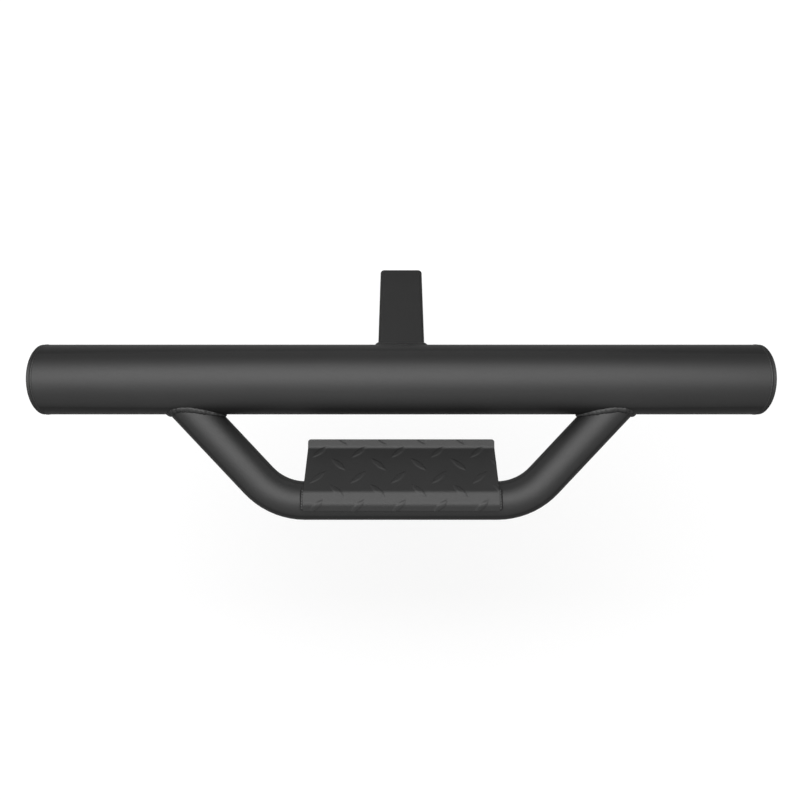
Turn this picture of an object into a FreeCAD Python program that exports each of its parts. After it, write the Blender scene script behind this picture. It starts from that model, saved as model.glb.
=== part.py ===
import FreeCAD, Part
import math
import os

# Rear step bumper: a round cross tube on a square receiver shank, with a bent step hoop welded
# under the tube and a folded tread plate welded over the hoop's lower run.
# Millimetres. The origin is the centre of the hitch pin hole. X runs along the cross tube,
# Y points forward into the vehicle's receiver, and Z is up.

# Cross tube and its end caps
TUBE_OD = 76.2
TUBE_WALL = 3.0
BUMPER_LENGTH = 780.0
CAP_THICKNESS = 5.0
CAP_EDGE_BEVEL = 1.2
SEAM_GROOVE = 1.4
SEAM_CROWN = 0.4

# Receiver shank
SHANK_SIDE = 50.8
SHANK_WALL = 5.0
SHANK_CORNER = 5.0
SHANK_INNER_CORNER = 2.0
SHANK_REACH = 167.0
SHANK_MOUTH_CHAMFER = 1.0
PIN_SETBACK = 55.0
PIN_HOLE_DIAMETER = 16.7

# Step hoop, bent from one round tube in a plane that leans back from the cross tube
HOOP_OD = 42.0
HOOP_WALL = 2.6
HOOP_LEAN = 45.0
HOOP_DROP = 132.5
HOOP_BEND_ANGLE = 47.0
HOOP_BEND_RADIUS = 70.0

# Tread plate, folded round the top and back of the hoop's lower run
PLATE_WIDTH = 210.0
PLATE_THICKNESS = 3.0
PLATE_SEAT_GAP = 0.2
PLATE_REACH = 55.0
LIP_LENGTH = 9.2
LIP_RISE = 45.0
LIP_CORNER = 3.0
UPPER_FOLD = 27.0
LOWER_FOLD = 37.0
FOLD_RADIUS = 5.0
SKIRT_LENGTH = 8.0

# Raised lozenges of the tread plate, in rows that lean left and right by turns
TREAD_PITCH = 44.0
TREAD_ROW_STEP = 17.8
TREAD_FIRST_ROW = 6.0
TREAD_SHIFT = -3.0
TREAD_LENGTH = 25.0
TREAD_BREADTH = 7.5
TREAD_HEIGHT = 1.3
TREAD_FLANK = 1.8
TREAD_ANGLE = 45.0
TREAD_ROOT = 1.0

# Weld beads
SHANK_WELD_LEG = 5.0
HOOP_WELD_LEG = 5.0
PLATE_WELD_LEG = 4.0
STITCH_COUNT = 3
STITCH_LENGTH = 35.0
STITCH_THROAT = 4.0

# Places that follow from the sizes above
VECTOR = FreeCAD.Vector
X_AXIS = VECTOR(1, 0, 0)
Z_AXIS = VECTOR(0, 0, 1)
TUBE_CENTRE = VECTOR(0, PIN_SETBACK - SHANK_REACH, 0)
TUBE_LENGTH = BUMPER_LENGTH - 2 * CAP_THICKNESS
LEAN = math.radians(HOOP_LEAN)
SLANT = VECTOR(0, -math.sin(LEAN), -math.cos(LEAN))
RUN_CENTRE = TUBE_CENTRE + SLANT * HOOP_DROP


def cylinder_along(start, end, radius):
    """A solid round bar from one point to another."""
    return Part.makeCylinder(radius, (end - start).Length, start, end - start)


def tube_solid():
    """The cross tube's outside as a solid bar, used to cope what is welded to it."""
    half = X_AXIS * (TUBE_LENGTH / 2)
    return cylinder_along(TUBE_CENTRE - half, TUBE_CENTRE + half, TUBE_OD / 2)


def revolved_about_tube(profile):
    """Turns a closed outline of (x, radius) points and arcs about the cross tube's axis."""
    face = Part.Face(Part.Wire(profile))
    return face.revolve(TUBE_CENTRE, X_AXIS, 360)


def at_radius(x, radius):
    """A point on the plane through the cross tube's axis, for outlines to be revolved."""
    return TUBE_CENTRE + VECTOR(x, 0, radius)


def main_tube():
    """Round tube with a small groove turned on each end for the cap's seam."""
    half = TUBE_LENGTH / 2
    outer = TUBE_OD / 2
    inner = outer - TUBE_WALL
    points = [(-half, inner), (-half, outer - SEAM_GROOVE), (-half + SEAM_GROOVE, outer),
              (half - SEAM_GROOVE, outer), (half, outer - SEAM_GROOVE), (half, inner)]
    outline = Part.makePolygon([at_radius(x, radius) for x, radius in points + points[:1]])
    return revolved_about_tube(outline.Edges)


def end_cap(side):
    """Flat disc that closes one end of the tube, grooved for the seam and bevelled outside."""
    outer = TUBE_OD / 2
    face = side * TUBE_LENGTH / 2
    back = face + side * CAP_THICKNESS
    points = [(face, 0), (face, outer - SEAM_GROOVE), (face + side * SEAM_GROOVE, outer),
              (back - side * CAP_EDGE_BEVEL, outer), (back, outer - CAP_EDGE_BEVEL), (back, 0)]
    outline = Part.makePolygon([at_radius(x, radius) for x, radius in points + points[:1]])
    return revolved_about_tube(outline.Edges)


def end_seams():
    """Weld rings that fill the grooves between tube and caps, a little proud of both."""
    outer = TUBE_OD / 2
    rings = []
    for face in (-TUBE_LENGTH / 2, TUBE_LENGTH / 2):
        root = at_radius(face, outer - SEAM_GROOVE)
        toe = at_radius(face - SEAM_GROOVE, outer)
        crown = at_radius(face, outer + SEAM_CROWN)
        far_toe = at_radius(face + SEAM_GROOVE, outer)
        rings.append(revolved_about_tube([Part.makeLine(root, toe),
                                          Part.Arc(toe, crown, far_toe).toShape(),
                                          Part.makeLine(far_toe, root)]))
    return Part.Compound(rings)


def rounded_square_bar(side, corner, start, end):
    """A square bar along Y with rounded long edges."""
    bar = Part.makeBox(side, end - start, side, VECTOR(-side / 2, start, -side / 2))
    long_edges = [edge for edge in bar.Edges if abs(edge.tangentAt(edge.FirstParameter).y) > 0.99]
    return bar.makeFillet(corner, long_edges)


def shank_solid():
    """The shank's outside as a solid bar, from the cross tube's axis to its open end."""
    return rounded_square_bar(SHANK_SIDE, SHANK_CORNER, TUBE_CENTRE.y, PIN_SETBACK)


def hitch_shank():
    """Square tube coped onto the cross tube and cross drilled for the hitch pin."""
    bar = shank_solid()
    mouth = [edge for edge in bar.Edges if abs(edge.BoundBox.YMin - PIN_SETBACK) < 0.01]
    bar = bar.makeChamfer(SHANK_MOUTH_CHAMFER, mouth)
    clear_side = SHANK_SIDE - 2 * SHANK_WALL
    hollow = rounded_square_bar(clear_side, SHANK_INNER_CORNER, TUBE_CENTRE.y, PIN_SETBACK)
    across = X_AXIS * SHANK_SIDE
    pin_hole = cylinder_along(-across, across, PIN_HOLE_DIAMETER / 2)
    return bar.cut([hollow, tube_solid(), pin_hole])


def shank_weld():
    """Bead all round the shank: straight above and below it, curved with the tube at its sides."""
    leg = SHANK_WELD_LEG
    half = SHANK_SIDE / 2
    radius = TUBE_OD / 2
    meet = math.asin(half / radius)
    toe = meet + leg / radius
    meet_y = radius * math.cos(meet)
    inside = half - SHANK_CORNER
    beads = []
    for side in (-1, 1):
        outline = [(radius * math.cos(toe), radius * math.sin(toe)), (meet_y + leg, half),
                   (meet_y + leg, inside), (radius * math.cos(toe), inside)]
        corners = [TUBE_CENTRE + VECTOR(-half, y, side * z) for y, z in outline]
        beads.append(Part.Face(Part.makePolygon(corners + corners[:1])).extrude(X_AXIS * SHANK_SIDE))
        outline = [(inside, radius), (half + leg, radius), (half, radius + leg), (inside, radius + leg)]
        corners = [at_radius(side * x, height) for x, height in outline]
        section = Part.Face(Part.makePolygon(corners + corners[:1]))
        section.rotate(TUBE_CENTRE, X_AXIS, -90 - math.degrees(toe))
        beads.append(section.revolve(TUBE_CENTRE, X_AXIS, 2 * math.degrees(toe)))
    return beads[0].fuse(beads[1:]).cut([tube_solid(), shank_solid()]).removeSplitter()


def hoop_point(x, drop):
    """A point in the hoop's plane, by its X and its distance down from the cross tube's axis."""
    return TUBE_CENTRE + X_AXIS * x + SLANT * drop


def hoop_corner():
    """X of the corner where the lines of a leg and the lower run would meet."""
    return PLATE_WIDTH / 2 + HOOP_BEND_RADIUS * math.tan(math.radians(HOOP_BEND_ANGLE) / 2)


def hoop_top():
    """X of a leg's centre line at the cross tube's axis."""
    return hoop_corner() + HOOP_DROP / math.tan(math.radians(HOOP_BEND_ANGLE))


def hoop_path():
    """The hoop's centre line: leg, bend, straight run as long as the plate, bend, leg."""
    turn = math.radians(HOOP_BEND_ANGLE)
    tangent = HOOP_BEND_RADIUS * math.tan(turn / 2)
    corner = hoop_corner()
    rise = tangent * math.sin(turn)
    bow = HOOP_BEND_RADIUS * (1 - math.cos(turn / 2))
    bow_x = PLATE_WIDTH / 2 + HOOP_BEND_RADIUS * math.sin(turn / 2)

    def leg_start(side):
        return hoop_point(side * hoop_top(), 0)

    def bend_top(side):
        return hoop_point(side * (corner + tangent * math.cos(turn)), HOOP_DROP - rise)

    def bend_middle(side):
        return hoop_point(side * bow_x, HOOP_DROP - bow)

    def run_end(side):
        return hoop_point(side * PLATE_WIDTH / 2, HOOP_DROP)

    return Part.Wire([
        Part.makeLine(leg_start(-1), bend_top(-1)),
        Part.Arc(bend_top(-1), bend_middle(-1), run_end(-1)).toShape(),
        Part.makeLine(run_end(-1), run_end(1)),
        Part.Arc(run_end(1), bend_middle(1), bend_top(1)).toShape(),
        Part.makeLine(bend_top(1), leg_start(1)),
    ])


def swept_bar(radius):
    """A round bar swept along the hoop's centre line."""
    path = hoop_path()
    start = path.Edges[0].valueAt(path.Edges[0].FirstParameter)
    ahead = path.Edges[0].tangentAt(path.Edges[0].FirstParameter)
    section = Part.Wire(Part.makeCircle(radius, start, ahead))
    return path.makePipeShell([section], True, False)


def hoop_solid():
    """The hoop's outside as a solid bar, used to shape the beads that lie on it."""
    return swept_bar(HOOP_OD / 2)


def step_hoop():
    """Bent tube with both ends coped onto the cross tube."""
    return hoop_solid().cut([swept_bar(HOOP_OD / 2 - HOOP_WALL), tube_solid()])


def fillet_weld(base, branch, leg):
    """Flat-faced bead along the line where a branch meets its base, touching both."""
    joined = base.fuse(branch).removeSplitter()
    seam = base.section(branch)
    line = []
    for edge in joined.Edges:
        middle = edge.valueAt((edge.FirstParameter + edge.LastParameter) / 2)
        if seam.distToShape(Part.Vertex(middle))[0] < 0.01:
            line.append(edge)
    return joined.makeChamfer(leg, line).cut([base, branch])


def hoop_welds():
    """Beads round the coped ends of both legs."""
    beads = []
    for side in (-1, 1):
        start = hoop_point(side * hoop_top(), 0)
        corner = hoop_point(side * hoop_corner(), HOOP_DROP)
        leg = cylinder_along(start, corner, HOOP_OD / 2)
        beads += fillet_weld(tube_solid(), leg, HOOP_WELD_LEG).Solids
    return Part.Compound(beads)


def direction(degrees):
    """A unit vector in the YZ plane, turned up from +Y."""
    return VECTOR(0, math.cos(math.radians(degrees)), math.sin(math.radians(degrees)))


def plate_folds():
    """The upper face of the folded sheet as corner points and, between them, face normals."""
    seat = HOOP_OD / 2 + PLATE_SEAT_GAP + PLATE_THICKNESS
    lip_normal = direction(90 + LIP_RISE)
    flat_normal = direction(90)
    slope_normal = direction(90 + UPPER_FOLD)
    skirt_normal = direction(90 + UPPER_FOLD + LOWER_FOLD)
    lip_fold = RUN_CENTRE + VECTOR(0, PLATE_REACH, seat)
    lip_tip = lip_fold + direction(LIP_RISE) * LIP_LENGTH
    upper_fold = RUN_CENTRE + mitre(flat_normal, slope_normal) * seat
    lower_fold = RUN_CENTRE + mitre(slope_normal, skirt_normal) * seat
    skirt_edge = lower_fold + direction(180 + UPPER_FOLD + LOWER_FOLD) * SKIRT_LENGTH
    return ([lip_tip, lip_fold, upper_fold, lower_fold, skirt_edge],
            [lip_normal, flat_normal, slope_normal, skirt_normal])


def mitre(first, second):
    """The vector along a fold's mitre that stands one unit off both faces."""
    return (first + second) * (1 / (1 + first.dot(second)))


def plate_mitres(normals):
    """One mitre vector for each corner of the sheet: square at both free edges."""
    inner = [mitre(first, second) for first, second in zip(normals, normals[1:])]
    return [normals[0]] + inner + [normals[-1]]


def across_width(points):
    """A prism as wide as the plate on an outline of points in the YZ plane."""
    shift = X_AXIS * (-PLATE_WIDTH / 2)
    outline = [point + shift for point in points]
    return Part.Face(Part.makePolygon(outline + outline[:1])).extrude(X_AXIS * PLATE_WIDTH)


def fold_edges(shape, points):
    """The edges of a shape that run across the plate through points of the YZ plane."""
    found = []
    for edge in shape.Edges:
        ends = [VECTOR(0, vertex.Y, vertex.Z) for vertex in edge.Vertexes]
        if any(all(end.isEqual(point, 0.001) for end in ends) for point in points):
            found.append(edge)
    return found


def folded_sheet():
    """The plain sheet before its tread: lip, flat, slope and skirt with rounded folds."""
    corners, normals = plate_folds()
    under = [corner - step * PLATE_THICKNESS for corner, step in zip(corners, plate_mitres(normals))]
    sheet = across_width(corners + under[::-1])
    sheet = sheet.makeFillet(FOLD_RADIUS, fold_edges(sheet, [corners[1], under[2], under[3]]))
    outside = fold_edges(sheet, [under[1], corners[2], corners[3]])
    return sheet.makeFillet(FOLD_RADIUS + PLATE_THICKNESS, outside)


def lip_corner_waste(side):
    """What is cut away to round one free corner of the lip, tread and all."""
    corners, normals = plate_folds()
    outward = X_AXIS * side
    upward = direction(LIP_RISE)
    centre = corners[0] - upward * LIP_CORNER + outward * (PLATE_WIDTH / 2 - LIP_CORNER)
    start = centre - normals[0] * 2 * PLATE_THICKNESS
    depth = normals[0] * (2 * PLATE_THICKNESS + 2 * TREAD_HEIGHT)
    steps = [VECTOR(), outward, outward + upward, upward, VECTOR()]
    block = Part.Face(Part.makePolygon([start + step * 2 * LIP_CORNER for step in steps])).extrude(depth)
    return block.cut(cylinder_along(start, start + depth, LIP_CORNER))


def lens(length, breadth, height):
    """A pointed oval outline of two arcs at one height."""
    left = VECTOR(-length / 2, 0, height)
    right = VECTOR(length / 2, 0, height)
    upper = Part.Arc(left, VECTOR(0, breadth / 2, height), right)
    lower = Part.Arc(right, VECTOR(0, -breadth / 2, height), left)
    return Part.Wire([upper.toShape(), lower.toShape()])


def lozenge():
    """One raised lozenge with sloping flanks, rooted below the sheet's surface."""
    spread = TREAD_FLANK * TREAD_ROOT / TREAD_HEIGHT
    foot = lens(TREAD_LENGTH + 2 * spread, TREAD_BREADTH + 2 * spread, -TREAD_ROOT)
    crest = lens(TREAD_LENGTH - 2 * TREAD_FLANK, TREAD_BREADTH - 2 * TREAD_FLANK, TREAD_HEIGHT)
    return Part.makeLoft([foot, crest], True, True)


def tread():
    """The lozenges of the flat sheet's pattern, carried round its folds."""
    corners, normals = plate_folds()
    mitres = plate_mitres(normals)
    blank = lozenge()
    reach = (TREAD_LENGTH + TREAD_BREADTH) / 2
    rows_before = math.ceil((LIP_LENGTH + reach + TREAD_FIRST_ROW) / TREAD_ROW_STEP)
    sheet_length = sum((end - start).Length for start, end in zip(corners[1:], corners[2:]))
    rows_after = math.ceil((sheet_length + reach - TREAD_FIRST_ROW) / TREAD_ROW_STEP)
    columns = math.ceil((PLATE_WIDTH / 2 + reach) / TREAD_PITCH) + 1
    pieces = []
    start_along = -LIP_LENGTH
    for place, normal in enumerate(normals):
        start, end = corners[place], corners[place + 1]
        length = (end - start).Length
        along = (end - start) * (1 / length)
        near, far = mitres[place], mitres[place + 1]
        clip = across_width([start - near * TREAD_ROOT, start + near * 2 * TREAD_HEIGHT,
                             end + far * 2 * TREAD_HEIGHT, end - far * TREAD_ROOT])
        turn = FreeCAD.Rotation(X_AXIS, -along, normal, "ZXY")
        for row in range(-rows_before, rows_after + 1):
            centre = TREAD_FIRST_ROW + row * TREAD_ROW_STEP - start_along
            if not -reach < centre < length + reach:
                continue
            lean = TREAD_ANGLE if row % 2 == 0 else -TREAD_ANGLE
            offset = TREAD_SHIFT + (row % 2) * TREAD_PITCH / 2
            for column in range(-columns, columns + 1):
                x = offset + column * TREAD_PITCH
                if abs(x) > PLATE_WIDTH / 2 + reach:
                    continue
                piece = blank.copy()
                piece.Placement = FreeCAD.Placement(start + along * centre + X_AXIS * x,
                                                    turn * FreeCAD.Rotation(Z_AXIS, lean))
                pieces += piece.common(clip).Solids
        start_along += length
    return pieces


def step_plate():
    """Folded tread plate: the sheet with its lozenges raised on the outer face."""
    return folded_sheet().fuse(tread()).cut([lip_corner_waste(-1), lip_corner_waste(1)]).removeSplitter()


def plate_end_welds():
    """Beads on the hoop along both ends of the plate's wrap, from its flat to its skirt."""
    surface = HOOP_OD / 2
    below = surface - PLATE_WELD_LEG / 2
    top = surface + PLATE_SEAT_GAP + PLATE_THICKNESS
    beads = []
    for side in (-1, 1):
        end = side * PLATE_WIDTH / 2
        toe = end + side * PLATE_WELD_LEG
        outline = [(end, below), (end, top), (toe, surface), (toe, below), (end, below)]
        section = Part.Face(Part.makePolygon([RUN_CENTRE + VECTOR(x, 0, height) for x, height in outline]))
        bead = section.revolve(RUN_CENTRE, X_AXIS, UPPER_FOLD + LOWER_FOLD)
        beads += bead.cut(hoop_solid()).Solids
    return Part.Compound(beads)


def plate_stitch_welds():
    """Short beads in the wedge between the plate's underside and the front of the lower run."""
    under = HOOP_OD / 2 + PLATE_SEAT_GAP
    surface = HOOP_OD / 2
    toe_drop = STITCH_THROAT + PLATE_SEAT_GAP
    toe_y = math.sqrt(surface ** 2 - (under - toe_drop) ** 2)
    root_y = toe_y / 2
    outline = [VECTOR(0, root_y, under), VECTOR(0, toe_y - STITCH_THROAT / 2, under),
               VECTOR(0, toe_y, under - toe_drop), VECTOR(0, root_y, under - 2 * toe_drop)]
    stitches = []
    for number in range(STITCH_COUNT):
        middle = (number - (STITCH_COUNT - 1) / 2) * PLATE_WIDTH / STITCH_COUNT
        start = RUN_CENTRE + X_AXIS * (middle - STITCH_LENGTH / 2)
        corners = [start + point for point in outline]
        bead = Part.Face(Part.makePolygon(corners + corners[:1])).extrude(X_AXIS * STITCH_LENGTH)
        stitches += bead.cut(hoop_solid()).Solids
    return Part.Compound(stitches)


pieces = {
    "main_tube": main_tube(),
    "end_cap_left": end_cap(-1),
    "end_cap_right": end_cap(1),
    "end_seams": end_seams(),
    "hitch_shank": hitch_shank(),
    "shank_weld": shank_weld(),
    "step_hoop": step_hoop(),
    "hoop_welds": hoop_welds(),
    "step_plate": step_plate(),
    "plate_end_welds": plate_end_welds(),
    "plate_stitch_welds": plate_stitch_welds(),
}

os.makedirs("parts", exist_ok=True)
for name, shape in pieces.items():
    shape.exportStep("parts/" + name + ".step")
    print(name, "solids", len(shape.Solids), "valid", shape.isValid(), "volume", round(shape.Volume))
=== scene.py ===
import math

import bpy
import numpy as np
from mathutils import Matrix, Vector


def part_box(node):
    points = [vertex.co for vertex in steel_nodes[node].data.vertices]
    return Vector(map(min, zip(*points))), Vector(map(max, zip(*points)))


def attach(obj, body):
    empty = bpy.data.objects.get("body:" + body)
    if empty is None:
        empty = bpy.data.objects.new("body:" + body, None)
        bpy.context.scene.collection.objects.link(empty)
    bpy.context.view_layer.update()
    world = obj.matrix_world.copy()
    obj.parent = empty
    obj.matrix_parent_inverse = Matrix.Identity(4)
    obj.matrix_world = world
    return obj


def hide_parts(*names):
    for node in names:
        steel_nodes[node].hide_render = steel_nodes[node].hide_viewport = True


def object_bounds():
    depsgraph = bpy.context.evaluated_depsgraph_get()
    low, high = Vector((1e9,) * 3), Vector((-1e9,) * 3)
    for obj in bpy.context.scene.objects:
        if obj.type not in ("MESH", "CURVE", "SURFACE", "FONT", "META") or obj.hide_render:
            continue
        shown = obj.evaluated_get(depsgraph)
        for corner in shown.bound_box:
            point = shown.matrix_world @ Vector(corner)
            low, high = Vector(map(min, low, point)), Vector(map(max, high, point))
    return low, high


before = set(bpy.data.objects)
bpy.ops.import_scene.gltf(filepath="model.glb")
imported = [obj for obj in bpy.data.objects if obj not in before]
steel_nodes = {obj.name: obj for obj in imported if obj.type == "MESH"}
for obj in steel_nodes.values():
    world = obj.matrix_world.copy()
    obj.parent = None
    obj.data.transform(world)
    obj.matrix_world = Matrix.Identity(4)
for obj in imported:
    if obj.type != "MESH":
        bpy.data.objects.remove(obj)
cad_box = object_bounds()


# Cross tube: a length of round drawn steel tube, the bumper bar itself.
# It is cut square, and the finished weldment is dipped clean, dusted with black powder
# and baked, so every piece wears the same satin coat.
MM = 0.001


def linear(colour):
    """An sRGB hex colour as linear red, green, blue and alpha."""
    parts = [int(colour[start:start + 2], 16) / 255 for start in (1, 3, 5)]
    return [part / 12.92 if part <= 0.04045 else ((part + 0.055) / 1.055) ** 2.4
            for part in parts] + [1.0]


def add_node(tree, kind, settings, inputs):
    """Adds a node, sets its properties, and fills each input with a value or a link."""
    node = tree.nodes.new(kind)
    for name, value in settings.items():
        setattr(node, name, value)
    for socket, value in inputs.items():
        if isinstance(value, bpy.types.NodeSocket):
            tree.links.new(value, node.inputs[socket])
        else:
            node.inputs[socket].default_value = value
    return node


def powder_coat(name, thick_film, thin_film, roughness, peel_mm, peel_height_mm):
    """Baked polyester powder: a satin black film that flows out with a faint orange peel.
    The eye gets broad soft highlights, slight changes of gloss, and a fine pebbled grain."""
    film_patch = 55 * MM
    # The powder's own grain is about 0.05 mm; it is drawn at 0.8 mm so that it shows.
    grain_size = 0.8 * MM
    grain_share = 0.8
    roughness_spread = 0.05
    polyester_ior = 1.57
    gloss_face_on, gloss_at_edge = 0.52, 0.03
    material = bpy.data.materials.new(name)
    material.use_nodes = True
    tree = material.node_tree
    tree.nodes.clear()
    place = add_node(tree, "ShaderNodeTexCoord", {}, {}).outputs["Object"]
    film = add_node(tree, "ShaderNodeTexNoise", {},
                    {"Vector": place, "Scale": 1 / film_patch, "Detail": 3.0})
    peel = add_node(tree, "ShaderNodeTexNoise", {},
                    {"Vector": place, "Scale": 1 / (peel_mm * MM), "Detail": 1.0})
    grain = add_node(tree, "ShaderNodeTexNoise", {},
                     {"Vector": place, "Scale": 1 / grain_size, "Detail": 0.0})
    colour = add_node(tree, "ShaderNodeMix", {"data_type": "RGBA"},
                      {0: film.outputs["Fac"], 6: linear(thin_film), 7: linear(thick_film)})
    gloss = add_node(tree, "ShaderNodeMapRange", {},
                     {"Value": grain.outputs["Fac"], "From Min": 0.25, "From Max": 0.75,
                      "To Min": roughness - roughness_spread,
                      "To Max": roughness + roughness_spread})
    relief = add_node(tree, "ShaderNodeMath", {"operation": "MULTIPLY_ADD"},
                      {0: grain.outputs["Fac"], 1: grain_share, 2: peel.outputs["Fac"]})
    bump = add_node(tree, "ShaderNodeBump", {},
                    {"Strength": 1.0, "Distance": peel_height_mm * MM,
                     "Height": relief.outputs[0]})
    # Seen at a low angle, the grain shades itself, so the film loses its gloss towards an edge.
    slant = add_node(tree, "ShaderNodeLayerWeight", {}, {"Blend": 0.5})
    mirror = add_node(tree, "ShaderNodeMapRange", {},
                      {"Value": slant.outputs["Facing"], "From Min": 0.1, "From Max": 0.46,
                       "To Min": gloss_face_on, "To Max": gloss_at_edge})
    shader = add_node(tree, "ShaderNodeBsdfPrincipled", {},
                      {"Base Color": colour.outputs[2], "Roughness": gloss.outputs["Result"],
                       "IOR": polyester_ior, "Specular IOR Level": mirror.outputs["Result"],
                       "Normal": bump.outputs["Normal"]})
    add_node(tree, "ShaderNodeOutputMaterial", {}, {"Surface": shader.outputs["BSDF"]})
    return material


def dress(node, material):
    """Gives a node of the frame its finish."""
    mesh = steel_nodes[node].data
    mesh.materials.clear()
    mesh.materials.append(material)


tube_coat = powder_coat("black powder coat on drawn tube", thick_film="#252525",
                        thin_film="#2a2a2a", roughness=0.54, peel_mm=3.2, peel_height_mm=0.03)
dress("main_tube", tube_coat)
tube_low, tube_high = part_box("main_tube")
tube_radius = (tube_high.z - tube_low.z) / 2
tube_centre = (tube_low + tube_high) / 2


# End caps: laser-cut steel discs that close both ends of the cross tube.
# Their outer rims are bevelled before they are tacked on and welded round.
cap_coat = powder_coat("black powder coat on cut plate", thick_film="#252525",
                       thin_film="#2a2a2a", roughness=0.54, peel_mm=2.8, peel_height_mm=0.03)
dress("end_cap_left", cap_coat)
dress("end_cap_right", cap_coat)


# End seams: rings of steel weld between the tube and its caps.
# They are run on a turntable and dressed with a flap disc, so only a low ripple is left.
def weld_tree():
    """Geometry nodes that sweep a bead along edges and scallop it like a run of weld pools."""
    rings_apart = 0.14  # as a share of the ripple pitch
    rod_sides = 20
    hand_sway = 9 * MM
    noise_middle = 0.5
    tree = bpy.data.node_groups.new("weld_bead", "GeometryNodeTree")
    tree.interface.new_socket("Path", in_out="INPUT", socket_type="NodeSocketGeometry")
    for size in ("Bead Radius", "Flatness", "Ripple Pitch", "Ripple Height", "Ripple Bow",
                 "Unevenness"):
        tree.interface.new_socket(size, in_out="INPUT", socket_type="NodeSocketFloat")
    tree.interface.new_socket("Finish", in_out="INPUT", socket_type="NodeSocketMaterial")
    tree.interface.new_socket("Bead", in_out="OUTPUT", socket_type="NodeSocketGeometry")
    given = add_node(tree, "NodeGroupInput", {}, {}).outputs

    # A round rod is swept along the path, as broad as the corner lets the bead spread.
    path = add_node(tree, "GeometryNodeMeshToCurve", {}, {"Mesh": given["Path"]})
    step = add_node(tree, "ShaderNodeMath", {"operation": "MULTIPLY"},
                    {0: given["Ripple Pitch"], 1: rings_apart})
    fine = add_node(tree, "GeometryNodeResampleCurve", {"mode": "LENGTH"},
                    {"Curve": path.outputs["Curve"], "Length": step.outputs[0]})
    travel = add_node(tree, "GeometryNodeSplineParameter", {}, {})
    marked = add_node(tree, "GeometryNodeStoreNamedAttribute",
                      {"data_type": "FLOAT", "domain": "POINT"},
                      {"Geometry": fine.outputs["Curve"], "Name": "travel",
                       "Value": travel.outputs["Length"]})
    rod = add_node(tree, "GeometryNodeCurvePrimitiveCircle", {},
                   {"Resolution": rod_sides, "Radius": given["Bead Radius"]})
    breadth = add_node(tree, "GeometryNodeInputNamedAttribute", {"data_type": "FLOAT"},
                       {"Name": "breadth"})
    sweep = add_node(tree, "GeometryNodeCurveToMesh", {},
                     {"Curve": marked.outputs["Geometry"], "Profile Curve": rod.outputs["Curve"],
                      "Scale": breadth.outputs["Attribute"], "Fill Caps": True})

    # Weld pools: scallops along the run, bowed across it, with the sway of the welder's hand.
    normal = add_node(tree, "GeometryNodeInputNormal", {}, {}).outputs["Normal"]
    outward = add_node(tree, "GeometryNodeInputNamedAttribute", {"data_type": "FLOAT_VECTOR"},
                       {"Name": "outward"})
    facing = add_node(tree, "ShaderNodeVectorMath", {"operation": "DOT_PRODUCT"},
                      {0: normal, 1: outward.outputs["Attribute"]})
    along = add_node(tree, "GeometryNodeInputNamedAttribute", {"data_type": "FLOAT"},
                     {"Name": "travel"})
    bowed = add_node(tree, "ShaderNodeMath", {"operation": "MULTIPLY_ADD"},
                     {0: facing.outputs["Value"], 1: given["Ripple Bow"],
                      2: along.outputs["Attribute"]})
    pools = add_node(tree, "ShaderNodeMath", {"operation": "DIVIDE"},
                     {0: bowed.outputs[0], 1: given["Ripple Pitch"]})
    angle = add_node(tree, "ShaderNodeMath", {"operation": "MULTIPLY"},
                     {0: pools.outputs[0], 1: math.pi})
    wave = add_node(tree, "ShaderNodeMath", {"operation": "SINE"}, {0: angle.outputs[0]})
    scallop = add_node(tree, "ShaderNodeMath", {"operation": "ABSOLUTE"}, {0: wave.outputs[0]})
    where = add_node(tree, "GeometryNodeInputPosition", {}, {}).outputs["Position"]
    hand = add_node(tree, "ShaderNodeTexNoise", {},
                    {"Vector": where, "Scale": 1 / hand_sway, "Detail": 1.0})
    drift = add_node(tree, "ShaderNodeMath", {"operation": "SUBTRACT"},
                     {0: hand.outputs["Fac"], 1: noise_middle})
    sway = add_node(tree, "ShaderNodeMath", {"operation": "MULTIPLY"},
                    {0: drift.outputs[0], 1: given["Unevenness"]})
    lift = add_node(tree, "ShaderNodeMath", {"operation": "MULTIPLY_ADD"},
                    {0: scallop.outputs[0], 1: given["Ripple Height"], 2: sway.outputs[0]})
    raised = add_node(tree, "ShaderNodeVectorMath", {"operation": "SCALE"},
                      {0: normal, "Scale": lift.outputs[0]})

    # The rod is pressed flat along the way it faces, to the low lens of a fillet.
    half_wide = add_node(tree, "ShaderNodeMath", {"operation": "MULTIPLY"},
                         {0: given["Bead Radius"], 1: breadth.outputs["Attribute"]})
    proud = add_node(tree, "ShaderNodeMath", {"operation": "MULTIPLY"},
                     {0: facing.outputs["Value"], 1: half_wide.outputs[0]})
    less = add_node(tree, "ShaderNodeMath", {"operation": "SUBTRACT"},
                    {0: given["Flatness"], 1: 1.0})
    sink = add_node(tree, "ShaderNodeMath", {"operation": "MULTIPLY"},
                    {0: proud.outputs[0], 1: less.outputs[0]})
    offset = add_node(tree, "ShaderNodeVectorMath", {"operation": "MULTIPLY_ADD"},
                      {0: outward.outputs["Attribute"], 1: sink.outputs[0],
                       2: raised.outputs["Vector"]})
    rippled = add_node(tree, "GeometryNodeSetPosition", {},
                       {"Geometry": sweep.outputs["Mesh"], "Offset": offset.outputs["Vector"]})
    smooth = add_node(tree, "GeometryNodeSetShadeSmooth", {},
                      {"Geometry": rippled.outputs["Geometry"]})
    real = add_node(tree, "GeometryNodeRealizeInstances", {},
                    {"Geometry": smooth.outputs["Geometry"]})
    coated = add_node(tree, "GeometryNodeSetMaterial", {},
                      {"Geometry": real.outputs["Geometry"], "Material": given["Finish"]})
    add_node(tree, "NodeGroupOutput", {}, {"Bead": coated.outputs["Geometry"]})
    return tree


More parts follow.
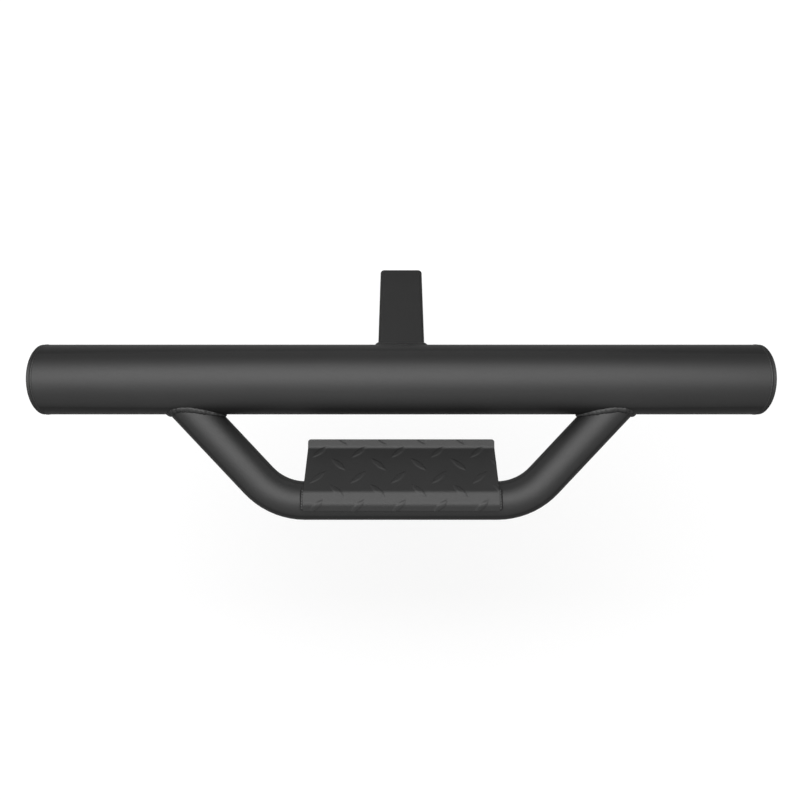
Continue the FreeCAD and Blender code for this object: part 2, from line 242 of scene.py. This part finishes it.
def grow(name, start_mesh, tree, values):
    """Runs a geometry node tree on a mesh and returns its result as a plain object."""
    grown = bpy.data.objects.new(name, start_mesh)
    bpy.context.scene.collection.objects.link(grown)
    modifier = grown.modifiers.new(tree.name, "NODES")
    modifier.node_group = tree
    for item in tree.interface.items_tree:
        if item.item_type == "SOCKET" and item.name in values:
            modifier[item.identifier] = values[item.name]
    bpy.context.view_layer.update()
    seen = bpy.context.evaluated_depsgraph_get()
    result = bpy.data.meshes.new_from_object(grown.evaluated_get(seen))
    grown.modifiers.remove(modifier)
    grown.data = result
    return grown


bead_rule = weld_tree()
bead_flatness = 0.62
bead_spread = 1.1


def bead_line(seam, first_normal, second_normal, leg, crown):
    """A fillet bead's middle line, the way it faces and its breadth, from its seam and the
    two surfaces that meet there. A wide corner makes it broad and low and a tight one narrow
    and high, so its legs stay the same length."""
    away = first_normal + second_normal
    away = away / np.linalg.norm(away, axis=1)[:, None]
    between = np.sum(first_normal * second_normal, axis=1)
    throat = leg * np.sqrt((1 - between) / 2)
    breadth = np.sqrt((1 + between) / 2)
    half_height = bead_flatness * bead_spread * leg * breadth
    return seam + away * (throat + crown - half_height)[:, None], away, breadth


def lay_beads(name, node, paths, sizes, material):
    """Welds along paths of (points, outward directions, breadths, closed), as one piece for
    a node. The ends of an open bead are rounded off."""
    end_taper = 1.2 * sizes["Bead Radius"]
    blunt_tip = 0.02
    points, outward, breadths, edges = [], [], [], []
    for line, away, breadth, closed in paths:
        first = len(points)
        count = len(line)
        steps = np.linalg.norm(np.diff(line, axis=0), axis=1)
        run = np.concatenate([[0.0], np.cumsum(steps)])
        from_end = np.minimum(run, run[-1] - run) / end_taper
        rounding = np.sqrt(1 - (1 - np.clip(from_end, blunt_tip, 1)) ** 2)
        points.extend(line)
        outward.extend(away)
        breadths.extend(breadth if closed else breadth * rounding)
        edges.extend((first + place, first + place + 1) for place in range(count - 1))
        if closed:
            edges.append((first + count - 1, first))
    mesh = bpy.data.meshes.new(name)
    mesh.from_pydata([tuple(point) for point in points], edges, [])
    mesh.attributes.new("outward", "FLOAT_VECTOR", "POINT").data.foreach_set(
        "vector", np.array(outward, dtype=np.float32).ravel())
    mesh.attributes.new("breadth", "FLOAT", "POINT").data.foreach_set(
        "value", np.array(breadths, dtype=np.float32))
    beads = grow(name, mesh, bead_rule, dict(sizes, Finish=material))
    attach(beads, "root")
    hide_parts(node)


dressed_weld_coat = powder_coat("black powder coat on dressed weld", thick_film="#242424",
                                thin_film="#2a2a2a", roughness=0.52, peel_mm=2.2,
                                peel_height_mm=0.05)
cap_low, cap_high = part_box("end_cap_left")
cap_thickness = cap_high.x - cap_low.x
seam_radius = tube_radius - 1.25 * MM
seam_points = 360
seam_turn = np.linspace(0, 2 * math.pi, seam_points, endpoint=False)
seam_away = np.stack([np.zeros(seam_points), np.cos(seam_turn), np.sin(seam_turn)], axis=1)
seam_paths = []
for seam_x in (cad_box[0].x + cap_thickness, cad_box[1].x - cap_thickness):
    seam_middle = np.array([seam_x, tube_centre.y, tube_centre.z])
    seam_line = seam_middle + seam_away * seam_radius
    seam_paths.append((seam_line, seam_away, np.ones(seam_points), True))
lay_beads("dressed_end_seams", "end_seams", seam_paths,
          {"Bead Radius": 1.5 * MM, "Flatness": 1.0, "Ripple Pitch": 3.4 * MM,
           "Ripple Height": 0.12 * MM, "Ripple Bow": 0.8 * MM, "Unevenness": 0.2 * MM},
          dressed_weld_coat)


# Receiver shank: square hollow steel bar that slides into the vehicle's hitch receiver.
# Cut from structural tube, cross-drilled for the hitch pin and coped to the cross tube.
shank_coat = powder_coat("black powder coat on square tube", thick_film="#252525",
                         thin_film="#2a2a2a", roughness=0.54, peel_mm=3.4, peel_height_mm=0.03)
dress("hitch_shank", shank_coat)
shank_low, shank_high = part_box("hitch_shank")


# Shank weld: one pass of steel weld all round the coped end of the shank, left as laid.
# The run of overlapping weld pools shows through the powder as soft scallops.
weld_coat = powder_coat("black powder coat on weld bead", thick_film="#242424",
                        thin_film="#2a2a2a", roughness=0.52, peel_mm=2.0, peel_height_mm=0.04)
shank_half = (shank_high.x - shank_low.x) / 2
shank_corner = 5 * MM
corner_count = 14
flat_count = 60
outline, outline_away = [], []
for quarter in range(4):
    turned = quarter * math.pi / 2
    across = np.array([math.cos(turned), math.sin(turned)])
    upward = np.array([-math.sin(turned), math.cos(turned)])
    flat = shank_half - shank_corner
    for step in np.linspace(-flat, flat, flat_count, endpoint=False):
        outline.append(across * shank_half + upward * step)
        outline_away.append(across)
    for bend in np.linspace(0, math.pi / 2, corner_count, endpoint=False):
        out = across * math.cos(bend) + upward * math.sin(bend)
        outline.append(across * flat + upward * flat + out * shank_corner)
        outline_away.append(out)
outline = np.array(outline)
outline_away = np.array(outline_away)
reach = np.sqrt(tube_radius ** 2 - outline[:, 1] ** 2)
level_way = np.zeros(len(reach))
shank_seam = np.stack([outline[:, 0], tube_centre.y + reach, outline[:, 1]], axis=1)
shank_normal = np.stack([outline_away[:, 0], level_way, outline_away[:, 1]], axis=1)
round_normal = np.stack([level_way, reach, outline[:, 1]], axis=1) / tube_radius
shank_leg = 4.2 * MM
shank_crown = 0.3 * MM
shank_line, shank_away, shank_breadth = bead_line(shank_seam, shank_normal, round_normal,
                                                  shank_leg, shank_crown)
lay_beads("shank_bead", "shank_weld", [(shank_line, shank_away, shank_breadth, True)],
          {"Bead Radius": bead_spread * shank_leg, "Flatness": bead_flatness,
           "Ripple Pitch": 3.6 * MM, "Ripple Height": 0.25 * MM, "Ripple Bow": 1.8 * MM,
           "Unevenness": 1.2 * MM}, weld_coat)


# Step hoop: one length of round steel tube, bent cold on a draw bender at two places.
# Its ends are coped to sit on the underside of the cross tube.
hoop_coat = powder_coat("black powder coat on bent tube", thick_film="#252525",
                        thin_film="#2a2a2a", roughness=0.54, peel_mm=3.2, peel_height_mm=0.03)
dress("step_hoop", hoop_coat)
hoop_radius = 21 * MM
hoop_drop = 132.5 * MM
hoop_run = 210 * MM
hoop_bend_radius = 70 * MM
hoop_bend = math.radians(47)
hoop_lean = math.radians(45)
# The hoop lies in a leaning plane: one direction runs down in it, the other stands off it.
down_slant = np.array([0, -math.sin(hoop_lean), -math.cos(hoop_lean)])
off_slant = np.array([0, -math.cos(hoop_lean), math.sin(hoop_lean)])
run_middle = np.array(tube_centre) + down_slant * hoop_drop


# Hoop welds: a steel bead round each coped end, laid by hand in one pass.
# The saddle-shaped seam is the line where the leg's tube meets the cross tube.
bend_end_x = hoop_run / 2 + hoop_bend_radius * math.sin(hoop_bend)
bend_end_drop = hoop_drop - hoop_bend_radius * (1 - math.cos(hoop_bend))
leg_points = 300
leg_turn = np.linspace(0, 2 * math.pi, leg_points, endpoint=False)
leg_off = hoop_radius * np.sin(leg_turn)
leg_out = hoop_radius * np.cos(leg_turn)
saddle_drop = np.sqrt(tube_radius ** 2 - leg_off ** 2)
leg_length = (bend_end_drop + leg_out * math.cos(hoop_bend) - saddle_drop) / math.sin(hoop_bend)
saddle_x = bend_end_x + leg_length * math.cos(hoop_bend) + leg_out * math.sin(hoop_bend)
hoop_leg = 3.6 * MM
hoop_crown = 0.6 * MM
hoop_paths = []
for side in (-1, 1):
    right = np.array([side, 0, 0])
    off_axis = saddle_drop[:, None] * down_slant + leg_off[:, None] * off_slant
    saddle = np.array(tube_centre) + saddle_x[:, None] * right + off_axis
    tube_normal = off_axis / tube_radius
    leg_side = math.sin(hoop_bend) * right + math.cos(hoop_bend) * down_slant
    leg_normal = np.cos(leg_turn)[:, None] * leg_side + np.sin(leg_turn)[:, None] * off_slant
    hoop_line, hoop_away, hoop_breadth = bead_line(saddle, tube_normal, leg_normal,
                                                   hoop_leg, hoop_crown)
    hoop_paths.append((hoop_line, hoop_away, hoop_breadth, True))
lay_beads("hoop_beads", "hoop_welds", hoop_paths,
          {"Bead Radius": bead_spread * hoop_leg, "Flatness": bead_flatness,
           "Ripple Pitch": 4.6 * MM, "Ripple Height": 0.32 * MM, "Ripple Bow": 2.4 * MM,
           "Unevenness": 2.4 * MM}, weld_coat)


# Step plate: steel diamond tread plate, sheared to size and folded three times on a press brake.
# An upturned lip keeps the toe off the hoop, and two folds wrap the outer edge round the tube.
plate_thickness = 3 * MM
plate_half = 105 * MM
plate_seat = 24.2 * MM
flat_reach = 55 * MM
lip_rise = math.radians(45)
upper_fold = math.radians(27)
lower_fold = math.radians(37)
inner_radius = 5 * MM
outer_radius = inner_radius + plate_thickness
lip_take = inner_radius * math.tan(lip_rise / 2)
upper_take = outer_radius * math.tan(upper_fold / 2)
lower_take = outer_radius * math.tan(lower_fold / 2)
lip_length = 9.2 * MM
flat_length = flat_reach + plate_seat * math.tan(upper_fold / 2)
slope_length = plate_seat * (math.tan(upper_fold / 2) + math.tan(lower_fold / 2))
skirt_length = 8 * MM
# Lip, lip fold, flat, upper fold, slope, lower fold and skirt, each with its length and turn.
plate_stations = [(lip_length - lip_take, 0),
                  (inner_radius * lip_rise, -lip_rise),
                  (flat_length - lip_take - upper_take, 0),
                  (outer_radius * upper_fold, upper_fold),
                  (slope_length - upper_take - lower_take, 0),
                  (outer_radius * lower_fold, lower_fold),
                  (skirt_length - lower_take, 0)]
plate_length = sum(length for length, turn in plate_stations)


def fold_sheet(along, height):
    """Y and Z of points of the flat blank, by their way along it and height off it, once folded."""
    y = np.full_like(along, run_middle[1] + flat_reach + lip_length * math.cos(lip_rise))
    z = np.full_like(along, run_middle[2] + plate_seat + lip_length * math.sin(lip_rise))
    heading = np.full_like(along, math.pi + lip_rise)
    passed = 0.0
    for length, turn in plate_stations:
        part = np.clip(along - passed, 0, length)
        if turn == 0:
            y += part * np.cos(heading)
            z += part * np.sin(heading)
        else:
            radius = length / turn
            turned = heading + part / radius
            y += radius * (np.sin(turned) - np.sin(heading))
            z -= radius * (np.cos(turned) - np.cos(heading))
            heading = turned
        passed += length
    return y + height * np.sin(heading), z - height * np.cos(heading)


def tread_tree():
    """Geometry nodes that raise rows of lozenges, leaning left and right by turns, on a blank."""
    rows = 13
    columns = 11
    ridge_points = 61
    tree = bpy.data.node_groups.new("tread_lozenges", "GeometryNodeTree")
    tree.interface.new_socket("Blank", in_out="INPUT", socket_type="NodeSocketGeometry")
    for size in ("Pitch", "Row Step", "First Row", "Shift", "Lozenge Length", "Lozenge Breadth",
                 "Lozenge Height", "Flank", "Lean"):
        tree.interface.new_socket(size, in_out="INPUT", socket_type="NodeSocketFloat")
    tree.interface.new_socket("Finish", in_out="INPUT", socket_type="NodeSocketMaterial")
    tree.interface.new_socket("Tread", in_out="OUTPUT", socket_type="NodeSocketGeometry")
    given = add_node(tree, "NodeGroupInput", {}, {}).outputs

    # A lattice of middles, with every other row moved on by half a pitch.
    wide = add_node(tree, "ShaderNodeMath", {"operation": "MULTIPLY"},
                    {0: given["Pitch"], 1: columns - 1.0})
    tall = add_node(tree, "ShaderNodeMath", {"operation": "MULTIPLY"},
                    {0: given["Row Step"], 1: rows - 1.0})
    lattice = add_node(tree, "GeometryNodeMeshGrid", {},
                       {"Size X": wide.outputs[0], "Size Y": tall.outputs[0],
                        "Vertices X": columns, "Vertices Y": rows})
    where = add_node(tree, "GeometryNodeInputPosition", {}, {}).outputs["Position"]
    axes = add_node(tree, "ShaderNodeSeparateXYZ", {}, {"Vector": where})
    row = add_node(tree, "ShaderNodeMath", {"operation": "DIVIDE"},
                   {0: axes.outputs["Y"], 1: given["Row Step"]})
    whole = add_node(tree, "ShaderNodeMath", {"operation": "ROUND"}, {0: row.outputs[0]})
    odd = add_node(tree, "ShaderNodeMath", {"operation": "FLOORED_MODULO"},
                   {0: whole.outputs[0], 1: 2.0})
    tagged = add_node(tree, "GeometryNodeStoreNamedAttribute",
                      {"data_type": "FLOAT", "domain": "POINT"},
                      {"Geometry": lattice.outputs["Mesh"], "Name": "odd_row",
                       "Value": odd.outputs[0]})
    parity = add_node(tree, "GeometryNodeInputNamedAttribute", {"data_type": "FLOAT"},
                      {"Name": "odd_row"})
    half = add_node(tree, "ShaderNodeMath", {"operation": "MULTIPLY"},
                    {0: given["Pitch"], 1: 0.5})
    stagger = add_node(tree, "ShaderNodeMath", {"operation": "MULTIPLY_ADD"},
                       {0: parity.outputs["Attribute"], 1: half.outputs[0], 2: given["Shift"]})
    start = add_node(tree, "ShaderNodeCombineXYZ", {},
                     {"X": stagger.outputs[0], "Y": given["First Row"]})
    placed = add_node(tree, "GeometryNodeSetPosition", {},
                      {"Geometry": tagged.outputs["Geometry"], "Offset": start.outputs["Vector"]})
    double = add_node(tree, "ShaderNodeMath", {"operation": "MULTIPLY"},
                      {0: given["Lean"], 1: -2.0})
    leaning = add_node(tree, "ShaderNodeMath", {"operation": "MULTIPLY_ADD"},
                       {0: parity.outputs["Attribute"], 1: double.outputs[0], 2: given["Lean"]})
    turn = add_node(tree, "ShaderNodeCombineXYZ", {}, {"Z": leaning.outputs[0]})

    # Each lozenge's ridge is a line of points that know how far the lozenge swells there.
    near_end = add_node(tree, "ShaderNodeMath", {"operation": "MULTIPLY"},
                        {0: given["Lozenge Length"], 1: -0.5})
    stride = add_node(tree, "ShaderNodeMath", {"operation": "DIVIDE"},
                      {0: given["Lozenge Length"], 1: ridge_points - 1.0})
    begin = add_node(tree, "ShaderNodeCombineXYZ", {}, {"X": near_end.outputs[0]})
    move = add_node(tree, "ShaderNodeCombineXYZ", {}, {"X": stride.outputs[0]})
    ridge = add_node(tree, "GeometryNodeMeshLine", {"mode": "OFFSET"},
                     {"Count": ridge_points, "Start Location": begin.outputs["Vector"],
                      "Offset": move.outputs["Vector"]})
    off_middle = add_node(tree, "ShaderNodeMath", {"operation": "DIVIDE"},
                          {0: axes.outputs["X"], 1: near_end.outputs[0]})
    square = add_node(tree, "ShaderNodeMath", {"operation": "MULTIPLY"},
                      {0: off_middle.outputs[0], 1: off_middle.outputs[0]})
    swell = add_node(tree, "ShaderNodeMath", {"operation": "SUBTRACT"},
                     {0: 1.0, 1: square.outputs[0]})
    shaped = add_node(tree, "GeometryNodeStoreNamedAttribute",
                      {"data_type": "FLOAT", "domain": "POINT"},
                      {"Geometry": ridge.outputs["Mesh"], "Name": "swell",
                       "Value": swell.outputs[0]})
    spread = add_node(tree, "GeometryNodeInstanceOnPoints", {},
                      {"Points": placed.outputs["Geometry"],
                       "Instance": shaped.outputs["Geometry"],
                       "Rotation": turn.outputs["Vector"]})
    ridges = add_node(tree, "GeometryNodeRealizeInstances", {},
                      {"Geometry": spread.outputs["Instances"]})

    # The blank's outer face rises by how far inside a lozenge's outline each point lies.
    ground = add_node(tree, "ShaderNodeVectorMath", {"operation": "MULTIPLY"},
                      {0: where, 1: (1.0, 1.0, 0.0)})
    nearest = add_node(tree, "GeometryNodeProximity", {"target_element": "EDGES"},
                       {0: ridges.outputs["Geometry"], "Sample Position": ground.outputs["Vector"]})
    index = add_node(tree, "GeometryNodeSampleNearest", {"domain": "POINT"},
                     {"Geometry": ridges.outputs["Geometry"],
                      "Sample Position": nearest.outputs["Position"]})
    swollen = add_node(tree, "GeometryNodeInputNamedAttribute", {"data_type": "FLOAT"},
                       {"Name": "swell"})
    width = add_node(tree, "GeometryNodeSampleIndex", {"data_type": "FLOAT", "domain": "POINT"},
                     {"Geometry": ridges.outputs["Geometry"],
                      "Value": swollen.outputs["Attribute"], "Index": index.outputs["Index"]})
    half_breadth = add_node(tree, "ShaderNodeMath", {"operation": "MULTIPLY"},
                            {0: given["Lozenge Breadth"], 1: 0.5})
    edge = add_node(tree, "ShaderNodeMath", {"operation": "MULTIPLY"},
                    {0: width.outputs["Value"], 1: half_breadth.outputs[0]})
    inside = add_node(tree, "ShaderNodeMath", {"operation": "SUBTRACT"},
                      {0: edge.outputs[0], 1: nearest.outputs["Distance"]})
    dome = add_node(tree, "ShaderNodeMapRange", {"interpolation_type": "SMOOTHSTEP"},
                    {"Value": inside.outputs[0], "From Min": 0.0, "From Max": given["Flank"],
                     "To Min": 0.0, "To Max": given["Lozenge Height"]})
    rise = add_node(tree, "ShaderNodeCombineXYZ", {}, {"Z": dome.outputs["Result"]})
    face = add_node(tree, "GeometryNodeInputNamedAttribute", {"data_type": "BOOLEAN"},
                    {"Name": "outer_face"})
    raised = add_node(tree, "GeometryNodeSetPosition", {},
                      {"Geometry": given["Blank"], "Selection": face.outputs["Attribute"],
                       "Offset": rise.outputs["Vector"]})
    real = add_node(tree, "GeometryNodeRealizeInstances", {},
                    {"Geometry": raised.outputs["Geometry"]})
    coated = add_node(tree, "GeometryNodeSetMaterial", {},
                      {"Geometry": real.outputs["Geometry"], "Material": given["Finish"]})
    add_node(tree, "NodeGroupOutput", {}, {"Tread": coated.outputs["Geometry"]})
    return tree


# The blank is a closed sheet with rounded edges: one ring of points round its section, lip to
# skirt and back below, at each step across. The outer face has points close enough for lozenges.
edge_round = 0.5 * MM
lip_corner = 3 * MM
fine_step = 0.7 * MM
edge_points = 4
turn_points = 3
under_count = 48
top_count = int(plate_length / fine_step)
half_steps = int((plate_half - edge_round) / fine_step)
round_steps = np.linspace(0, math.pi / 2, edge_points)
end_across = plate_half - edge_round * (1 - np.sin(round_steps))
end_inset = edge_round * (1 - np.cos(round_steps))
middle_across = np.linspace(-plate_half + edge_round, plate_half - edge_round,
                            2 * half_steps + 1)[1:-1]
ring_across = np.concatenate([-end_across[::-1], middle_across, end_across])
ring_inset = np.concatenate([end_inset[::-1], np.zeros(len(middle_across)), end_inset])
top_way = np.linspace(0, 1, top_count)
under_way = np.linspace(1, 0, under_count)
turn_way = np.linspace(0, math.pi / 2, turn_points + 2)[1:-1]
turn_sin, turn_cos = edge_round * np.sin(turn_way), edge_round * np.cos(turn_way)
rings = []
for across, inset in zip(ring_across, ring_inset):
    past = min(max(0.0, abs(across) - (plate_half - lip_corner)), lip_corner)
    tip = lip_corner - math.sqrt(lip_corner ** 2 - past ** 2) + inset
    end = plate_length - inset
    top, under = -inset, inset - plate_thickness
    upper, lower = top - edge_round, under + edge_round
    inner_tip, inner_end = tip + edge_round, end - edge_round
    inner_length = inner_end - inner_tip
    way = np.concatenate([inner_tip + inner_length * top_way, inner_end + turn_sin, [end, end],
                          inner_end + turn_cos, inner_tip + inner_length * under_way,
                          inner_tip - turn_sin, [tip, tip], inner_tip - turn_cos])
    height = np.concatenate([np.full(top_count, top), upper + turn_cos, [upper, lower],
                             lower - turn_sin, np.full(under_count, under),
                             lower - turn_cos, [lower, upper], upper + turn_sin])
    rings.append(np.stack([np.full(len(way), across), -way, height], axis=1))
ring_size = len(rings[0])
blank_points = np.concatenate(rings)
blank_faces = []
for ring in range(len(rings) - 1):
    base = ring * ring_size
    for place in range(ring_size):
        after = (place + 1) % ring_size
        blank_faces.append((base + place, base + after,
                            base + ring_size + after, base + ring_size + place))
last = (len(rings) - 1) * ring_size
blank_faces.append(tuple(range(ring_size - 1, -1, -1)))
blank_faces.append(tuple(range(last, last + ring_size)))
blank = bpy.data.meshes.new("tread_blank")
blank.from_pydata(blank_points.tolist(), [], blank_faces)
outer_face = np.zeros((len(rings), ring_size), dtype=bool)
outer_face[:, :top_count] = True
blank.attributes.new("outer_face", "BOOLEAN", "POINT").data.foreach_set(
    "value", outer_face.ravel())
plate_coat = powder_coat("black powder coat on tread plate", thick_film="#252525",
                         thin_film="#2a2a2a", roughness=0.54, peel_mm=2.6, peel_height_mm=0.035)
lip_fold_way = lip_length - lip_take + inner_radius * lip_rise / 2
first_row_gap = 6 * MM
plate = grow("tread_plate", blank, tread_tree(),
             {"Pitch": 44 * MM, "Row Step": 17.8 * MM,
              "First Row": -(lip_fold_way + first_row_gap), "Shift": -3 * MM,
              "Lozenge Length": 25 * MM, "Lozenge Breadth": 7.5 * MM, "Lozenge Height": 0.5 * MM,
              "Flank": 2.0 * MM, "Lean": math.radians(45), "Finish": plate_coat})
flat_points = np.empty(len(plate.data.vertices) * 3)
plate.data.vertices.foreach_get("co", flat_points)
flat_points = flat_points.reshape(-1, 3)
folded_y, folded_z = fold_sheet(-flat_points[:, 1], flat_points[:, 2])
folded_points = np.stack([flat_points[:, 0], folded_y, folded_z], axis=1)
plate.data.vertices.foreach_set("co", folded_points.ravel())
crease_angle = math.radians(50)
plate.data.polygons.foreach_set("use_smooth", np.ones(len(plate.data.polygons), dtype=bool))
plate.data.set_sharp_from_angle(angle=crease_angle)
plate.data.update()
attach(plate, "root")
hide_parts("step_plate")


# Plate end welds: short steel beads where the wrapped edge of the plate ends on the hoop.
# They are laid by hand round the tube, from the flat to the skirt, at both ends.
wrap_start, wrap_end = math.radians(90), math.radians(154)
wrap_points = 60
wrap_proud = 0.9 * MM
wrap_turn = np.linspace(wrap_start, wrap_end, wrap_points)
wrap_radial = np.stack([np.zeros(wrap_points), np.cos(wrap_turn), np.sin(wrap_turn)], axis=1)
wrap_paths = []
for side in (-1, 1):
    wrap_away = (wrap_radial + np.array([side, 0, 0])) / math.sqrt(2)
    wrap_root = run_middle + np.array([side * plate_half, 0, 0]) + wrap_radial * hoop_radius
    wrap_line = wrap_root + wrap_away * wrap_proud
    wrap_paths.append((wrap_line, wrap_away, np.ones(wrap_points), False))
lay_beads("plate_end_beads", "plate_end_welds", wrap_paths,
          {"Bead Radius": 2.2 * MM, "Flatness": 1.0, "Ripple Pitch": 2.6 * MM,
           "Ripple Height": 0.4 * MM, "Ripple Bow": 1.0 * MM, "Unevenness": 0.7 * MM},
          weld_coat)


# Stitch welds: three short steel beads that hold the flat of the plate from below.
# They fill the wedge between the plate's underside and the side of the hoop's lower run
# that faces the cross tube.
stitch_length = 35 * MM
stitch_apart = 2 * plate_half / 3
stitch_off = 10.4 * MM
stitch_rise = 19.4 * MM
stitch_tilt = 0.4
stitch_points = 60
stitch_paths = []
for number in (-1, 0, 1):
    stitch_x = np.linspace(-stitch_length / 2, stitch_length / 2, stitch_points)
    stitch_line = np.stack([stitch_x + number * stitch_apart,
                            np.full(stitch_points, run_middle[1] + stitch_off),
                            np.full(stitch_points, run_middle[2] + stitch_rise)], axis=1)
    stitch_out = np.array([0, math.cos(stitch_tilt), -math.sin(stitch_tilt)])
    stitch_away = np.tile(stitch_out, (stitch_points, 1))
    stitch_paths.append((stitch_line, stitch_away, np.ones(stitch_points), False))
lay_beads("plate_stitch_beads", "plate_stitch_welds", stitch_paths,
          {"Bead Radius": 2.2 * MM, "Flatness": 1.0, "Ripple Pitch": 2.8 * MM,
           "Ripple Height": 0.4 * MM, "Ripple Bow": 1.0 * MM, "Unevenness": 0.6 * MM},
          weld_coat)


# Studio: a floor of matt white paint well below the bumper, where the ground would be under
# a car. It also glows white to camera, glossy and transmission rays. That glow is dimmed below
# the bumper and in front, on the camera's side, as painted shade, so that the coat's lower sides
# stay dark. It shows from above only, so that the underside can be seen.
floor_drop = 500 * MM
floor_half = 8000 * MM
floor_z = cad_box[0].z - floor_drop
dim_within, plain_beyond = 400 * MM, 2400 * MM
dim_below = 0.66
front_far, front_near = -1100 * MM, -300 * MM
dim_in_front = 0.36
floor_corners = [(-floor_half, -floor_half, floor_z), (floor_half, -floor_half, floor_z),
                 (floor_half, floor_half, floor_z), (-floor_half, floor_half, floor_z)]
floor_mesh = bpy.data.meshes.new("studio_floor")
floor_mesh.from_pydata(floor_corners, [], [(0, 1, 2, 3)])
floor = bpy.data.objects.new("studio_floor", floor_mesh)
bpy.context.scene.collection.objects.link(floor)
floor_paint = bpy.data.materials.new("matt white studio paint")
floor_paint.use_nodes = True
paint = floor_paint.node_tree
paint.nodes.clear()
ray = add_node(paint, "ShaderNodeLightPath", {}, {}).outputs
mirrored = add_node(paint, "ShaderNodeMath", {"operation": "ADD"},
                    {0: ray["Is Camera Ray"], 1: ray["Is Glossy Ray"]})
shown = add_node(paint, "ShaderNodeMath", {"operation": "ADD", "use_clamp": True},
                 {0: mirrored.outputs[0], 1: ray["Is Transmission Ray"]})
spot = add_node(paint, "ShaderNodeTexCoord", {}, {}).outputs["Object"]
far = add_node(paint, "ShaderNodeVectorMath", {"operation": "LENGTH"}, {0: spot})
# Painted shade: the floor's glow is dimmed near the bumper and in front of it, on the camera's
# side.
fade = add_node(paint, "ShaderNodeMapRange", {},
                {"Value": far.outputs["Value"], "From Min": dim_within, "From Max": plain_beyond,
                 "To Min": dim_below, "To Max": 1.0})
sides = add_node(paint, "ShaderNodeSeparateXYZ", {}, {"Vector": spot})
front = add_node(paint, "ShaderNodeMapRange", {"interpolation_type": "SMOOTHSTEP"},
                 {"Value": sides.outputs["Y"], "From Min": front_far, "From Max": front_near,
                  "To Min": dim_in_front, "To Max": 1.0})
swept = add_node(paint, "ShaderNodeMath", {"operation": "MULTIPLY"},
                 {0: fade.outputs["Result"], 1: front.outputs["Result"]})
glow = add_node(paint, "ShaderNodeMath", {"operation": "MULTIPLY"},
                {0: shown.outputs[0], 1: swept.outputs[0]})
matt = add_node(paint, "ShaderNodeBsdfDiffuse", {}, {"Color": linear("#989898")})
lit = add_node(paint, "ShaderNodeEmission", {},
               {"Color": linear("#ffffff"), "Strength": glow.outputs[0]})
both = add_node(paint, "ShaderNodeAddShader", {}, {0: matt.outputs[0], 1: lit.outputs[0]})
behind = add_node(paint, "ShaderNodeNewGeometry", {}, {}).outputs["Backfacing"]
clear = add_node(paint, "ShaderNodeBsdfTransparent", {}, {})
one_sided = add_node(paint, "ShaderNodeMixShader", {},
                     {0: behind, 1: both.outputs[0], 2: clear.outputs[0]})
add_node(paint, "ShaderNodeOutputMaterial", {}, {"Surface": one_sided.outputs[0]})
floor_mesh.materials.append(floor_paint)


# Room: plain white walls, brightest on the car's side and under half as bright behind the
# camera. They darken upwards to a dim ceiling, so that the coat's highlights stay clear.
back_wall, front_wall, ceiling = 1.0, 0.42, 0.1
ceiling_from = 0.55
world = bpy.data.worlds.new("studio_room")
bpy.context.scene.world = world
world.use_nodes = True
room = world.node_tree
room.nodes.clear()
toward = add_node(room, "ShaderNodeTexCoord", {}, {}).outputs["Generated"]
aim = add_node(room, "ShaderNodeSeparateXYZ", {}, {"Vector": toward})
horizon = add_node(room, "ShaderNodeMapRange", {"interpolation_type": "SMOOTHSTEP"},
                   {"Value": aim.outputs["Y"], "From Min": -1.0, "From Max": 0.6,
                    "To Min": front_wall, "To Max": back_wall})
level = add_node(room, "ShaderNodeMapRange", {"interpolation_type": "SMOOTHSTEP"},
                 {"Value": aim.outputs["Z"], "From Min": 0.0, "From Max": ceiling_from,
                  "To Min": horizon.outputs["Result"], "To Max": ceiling})
walls = add_node(room, "ShaderNodeBackground", {},
                 {"Color": linear("#ffffff"), "Strength": level.outputs["Result"]})
add_node(room, "ShaderNodeOutputWorld", {}, {"Surface": walls.outputs[0]})


# Camera: it looks down on the bumper from straight behind the car.
# Its lens and place are those that were fitted to the photograph.
camera_rise = math.radians(46.38)
camera_distance = 748.47 * MM
camera_drop = 22.28 * MM
camera_aside = -1.4 * MM
look = Vector((0, math.cos(camera_rise), -math.sin(camera_rise)))
look_up = Vector((0, math.sin(camera_rise), math.cos(camera_rise)))
camera_data = bpy.data.cameras.new("studio_camera")
camera_data.sensor_width = 36.0
camera_data.lens = 30.84
camera = bpy.data.objects.new("studio_camera", camera_data)
camera.location = (tube_centre - look * camera_distance - look_up * camera_drop
                   + Vector((camera_aside, 0, 0)))
camera.rotation_euler = (math.pi / 2 - camera_rise, 0, 0)
bpy.context.scene.collection.objects.link(camera)
bpy.context.scene.camera = camera


# Lamps: a large softbox behind the camera, higher than it and to its left, lights the coat.
# A low strip box on the far side gives the bumper's back its own soft highlight.
# Each has its rise and turn in degrees, its shift, breadth and height in mm, and its watts.
lamp_distance = 2400 * MM
lamp_list = [("front_softbox", 60, 0, -600, 5000, 2500, 117.0),
             ("rear_strip_box", 8, 180, -250, 3200, 700, 14.0)]
for lamp_name, rise, turn, aside, wide, tall, watts in lamp_list:
    lamp_rise = math.radians(rise)
    lamp_turn = math.radians(turn)
    lamp_data = bpy.data.lights.new(lamp_name, "AREA")
    lamp_data.shape = "RECTANGLE"
    lamp_data.size = wide * MM
    lamp_data.size_y = tall * MM
    lamp_data.energy = watts
    lamp = bpy.data.objects.new(lamp_name, lamp_data)
    lamp_back = math.cos(lamp_turn) * math.cos(lamp_rise) * lamp_distance
    lamp_up = math.sin(lamp_rise) * lamp_distance
    lamp.location = tube_centre + Vector((aside * MM, -lamp_back, lamp_up))
    lamp.rotation_euler = (math.pi / 2 - lamp_rise, 0, lamp_turn)
    lamp.visible_camera = False
    bpy.context.scene.collection.objects.link(lamp)

bpy.context.scene.view_settings.view_transform = "Standard"
